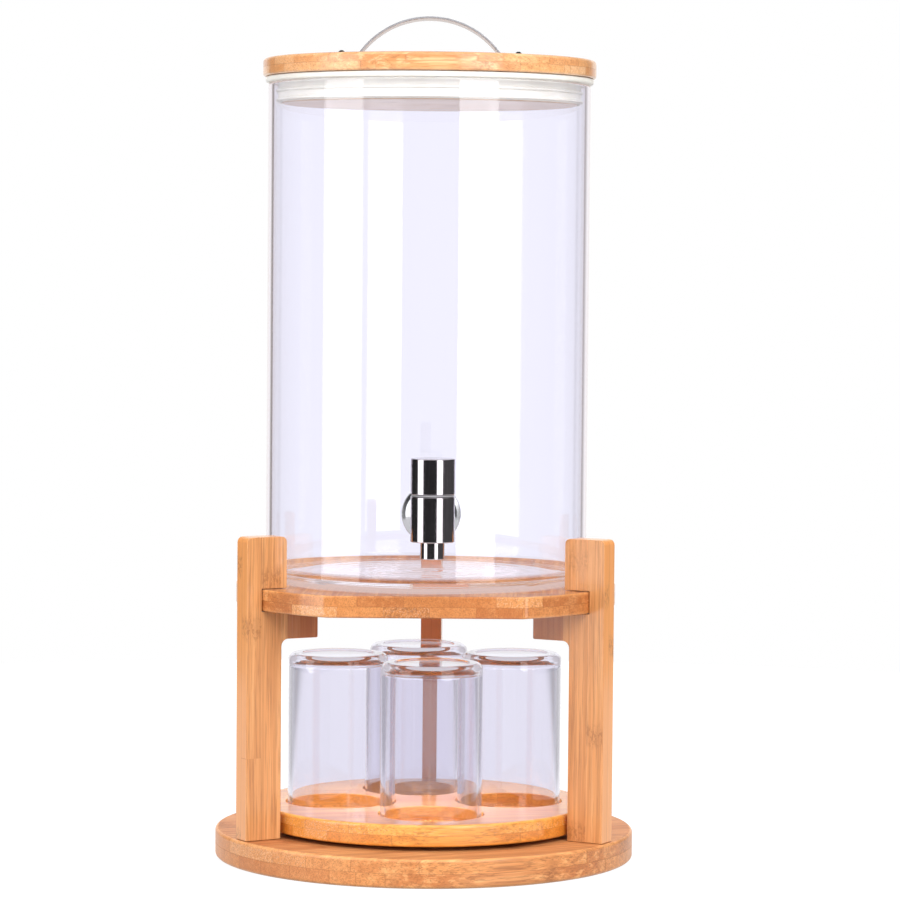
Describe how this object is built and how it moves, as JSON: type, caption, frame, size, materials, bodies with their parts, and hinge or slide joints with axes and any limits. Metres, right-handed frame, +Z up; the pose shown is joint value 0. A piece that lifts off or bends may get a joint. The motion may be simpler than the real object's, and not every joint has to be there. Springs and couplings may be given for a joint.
{
  "type": "beverage dispenser",
  "caption": "Glass drink jar with a quarter-turn tap and a bamboo lid, standing on a legged bamboo stand over a turntable of upturned glasses.",
  "frame": {"origin": "centre of the base board's underside", "axes": "+Z up, -Y towards the front, where the tap is, +X to the right as seen from the front"},
  "size_m": [0.235, 0.2513, 0.4702],
  "materials": {
    "bamboo": "laminated bamboo, satin clear coat",
    "tray_bamboo": "laminated bamboo, golden satin clear coat",
    "jar_glass": "clear borosilicate glass",
    "cup_glass": "clear drinking glass",
    "tap_steel": "brushed stainless steel",
    "strap_steel": "fine brushed stainless strip",
    "zinc_steel": "zinc plated",
    "brass": "turned brass",
    "silicone": "white translucent silicone",
    "black_screw": "blackened steel",
    "o_ring": "black nitrile rubber"
  },
  "bodies": {
    "stand": {"base_board": "bamboo", "bearing_lower_ring": "zinc_steel", "bearing_lower_screw_a": "zinc_steel", "bearing_lower_screw_b": "zinc_steel", "bearing_lower_screw_c": "zinc_steel", "leg_back": "bamboo", "leg_left": "bamboo", "leg_right": "bamboo", "leg_screw_back_inner": "zinc_steel", "leg_screw_back_outer": "zinc_steel", "leg_screw_left_inner": "zinc_steel", "leg_screw_left_outer": "zinc_steel", "leg_screw_right_inner": "zinc_steel", "leg_screw_right_outer": "zinc_steel", "support_board": "bamboo", "support_screw_back": "zinc_steel", "support_screw_left": "zinc_steel", "support_screw_right": "zinc_steel"},
    "ball_cage": {"bearing_ball_cage": "zinc_steel"},
    "turntable": {"bearing_upper_ring": "zinc_steel", "bearing_upper_screw_a": "zinc_steel", "bearing_upper_screw_b": "zinc_steel", "bearing_upper_screw_c": "zinc_steel", "bearing_upper_screw_d": "zinc_steel", "tray_board": "tray_bamboo"},
    "glass_front": {"cup_front": "cup_glass"},
    "glass_right": {"cup_right": "cup_glass"},
    "glass_back": {"cup_back": "cup_glass"},
    "glass_left": {"cup_left": "cup_glass"},
    "jar": {"glass_jar": "jar_glass", "tap_body": "tap_steel", "tap_body_washer": "silicone", "tap_escutcheon": "tap_steel", "tap_gland_ring": "brass", "tap_inner_gasket": "silicone", "tap_lock_nut": "tap_steel", "tap_nozzle": "tap_steel", "tap_outer_gasket": "silicone", "tap_shank": "tap_steel"},
    "tap_valve": {"tap_knob": "tap_steel", "tap_valve_stem": "brass", "tap_stem_oring": "o_ring", "tap_grub_screw": "black_screw"},
    "lid": {"lid_board": "bamboo", "lid_handle": "strap_steel", "lid_handle_screw_left": "black_screw", "lid_handle_screw_right": "black_screw", "lid_plug": "bamboo", "lid_seal": "silicone"}
  },
  "joints": [
    {"name": "turntable_turn", "type": "hinge", "parent": "stand", "child": "turntable", "pos_m": [0, 0, 0.0137], "axis": [0, 0, 1], "continuous": true},
    {"name": "ball_cage_turn", "type": "hinge", "parent": "stand", "child": "ball_cage", "pos_m": [0, 0, 0.0137], "axis": [0, 0, 1], "continuous": true},
    {"name": "glass_front_lift", "type": "slide", "parent": "turntable", "child": "glass_front", "axis": [0, 0, 1], "range_m": [0, 0.011]},
    {"name": "glass_right_lift", "type": "slide", "parent": "turntable", "child": "glass_right", "axis": [0, 0, 1], "range_m": [0, 0.011]},
    {"name": "glass_back_lift", "type": "slide", "parent": "turntable", "child": "glass_back", "axis": [0, 0, 1], "range_m": [0, 0.011]},
    {"name": "glass_left_lift", "type": "slide", "parent": "turntable", "child": "glass_left", "axis": [0, 0, 1], "range_m": [0, 0.011]},
    {"name": "jar_lift", "type": "slide", "parent": "stand", "child": "jar", "axis": [0, 0, 1], "range_m": [0, 0.06]},
    {"name": "tap_turn", "type": "hinge", "parent": "jar", "child": "tap_valve", "pos_m": [0.0033, -0.12196, 0.2022], "axis": [0, 0, 1], "range_deg": [0, 90]},
    {"name": "lid_lift", "type": "slide", "parent": "jar", "child": "lid", "axis": [0, 0, 1], "range_m": [0, 0.06]}
  ],
  "couplings": [
    {"joint": "ball_cage_turn", "follows": "turntable_turn", "ratio": 0.5}
  ]
}
